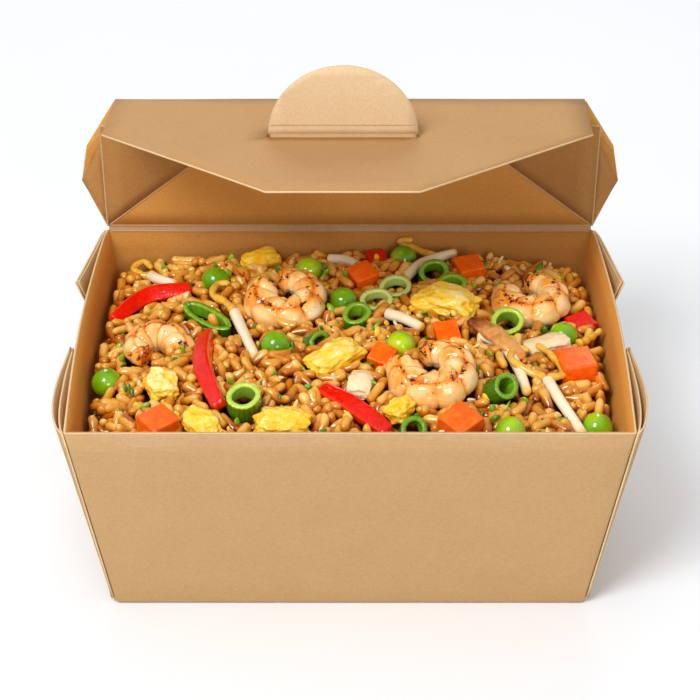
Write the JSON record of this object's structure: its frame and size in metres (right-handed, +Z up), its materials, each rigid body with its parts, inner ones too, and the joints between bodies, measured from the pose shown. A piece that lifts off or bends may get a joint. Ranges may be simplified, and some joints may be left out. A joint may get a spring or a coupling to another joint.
{
  "type": "takeaway carton of prawn fried rice",
  "caption": "Open brown paperboard takeaway carton with a hinged lid panel, front flap and half-round lock tab, filled with prawn fried rice, egg and vegetables.",
  "frame": {"origin": "centre of the carton's base, on the surface it stands on", "axes": "+Z up, front of the carton towards -Y, lid crease along X at the rear (+Y)"},
  "size_m": [0.1696, 0.124, 0.1349],
  "materials": {
    "kraft_board": "matt brown paperboard with fine fibres",
    "kraft_board_pale": "matt brown paperboard in full light",
    "fried_rice": "moist glossy grains, golden to brown",
    "prawn": "moist, pale orange with browned spots",
    "pea": "shiny green skin",
    "carrot": "moist cut faces",
    "red_pepper": "shiny red skin",
    "egg": "soft scrambled egg, satin",
    "spring_onion": "shiny green leaf",
    "bean_sprout": "moist, pale and part clear",
    "pale_onion": "moist, pale"
  },
  "bodies": {
    "tray": {"tray": "kraft_board", "carrot_1": "carrot", "carrot_2": "carrot", "carrot_3": "carrot", "carrot_4": "carrot", "carrot_5": "carrot", "carrot_6": "carrot", "carrot_7": "carrot", "egg_1": "egg", "egg_2": "egg", "egg_3": "egg", "egg_4": "egg", "egg_5": "egg", "egg_6": "egg", "egg_7": "egg", "fried_rice": "fried_rice", "onion_ring_1": "spring_onion", "onion_ring_10": "spring_onion", "onion_ring_11": "spring_onion", "onion_ring_2": "spring_onion", "onion_ring_3": "spring_onion", "onion_ring_4": "spring_onion", "onion_ring_5": "spring_onion", "onion_ring_6": "spring_onion", "onion_ring_7": "spring_onion", "onion_ring_8": "spring_onion", "onion_ring_9": "spring_onion", "pale_piece_1": "pale_onion", "pale_piece_2": "pale_onion", "pea_1": "pea", "pea_10": "pea", "pea_2": "pea", "pea_3": "pea", "pea_4": "pea", "pea_5": "pea", "pea_6": "pea", "pea_7": "pea", "pea_8": "pea", "pea_9": "pea", "pepper_piece_1": "red_pepper", "pepper_piece_2": "red_pepper", "pepper_strip_1": "red_pepper", "pepper_strip_2": "red_pepper", "pepper_strip_3": "red_pepper", "prawn_1": "prawn", "prawn_2": "prawn", "prawn_3": "prawn", "prawn_4": "prawn", "sprout_1": "bean_sprout", "sprout_2": "bean_sprout", "sprout_3": "bean_sprout", "sprout_4": "bean_sprout", "sprout_5": "bean_sprout", "sprout_6": "bean_sprout", "sprout_7": "bean_sprout"},
    "lid": {"lid_panel": "kraft_board"},
    "flap": {"front_flap": "kraft_board"},
    "tab": {"lock_tab": "kraft_board_pale"}
  },
  "joints": [
    {"name": "lid_hinge", "type": "hinge", "parent": "tray", "child": "lid", "pos_m": [0, 0.0617, 0.0645], "axis": [1, 0, 0], "range_deg": [-30, 80]},
    {"name": "flap_hinge", "type": "hinge", "parent": "lid", "child": "flap", "pos_m": [0, 0.0617, 0.109], "axis": [1, 0, 0], "range_deg": [-71, 27]},
    {"name": "tab_hinge", "type": "hinge", "parent": "flap", "child": "tab", "pos_m": [0, 0.02703, 0.11203], "axis": [-1, 0, 0], "range_deg": [-35, 95]}
  ],
  "couplings": [
    {"joint": "flap_hinge", "follows": "lid_hinge", "ratio": -0.875}
  ]
}
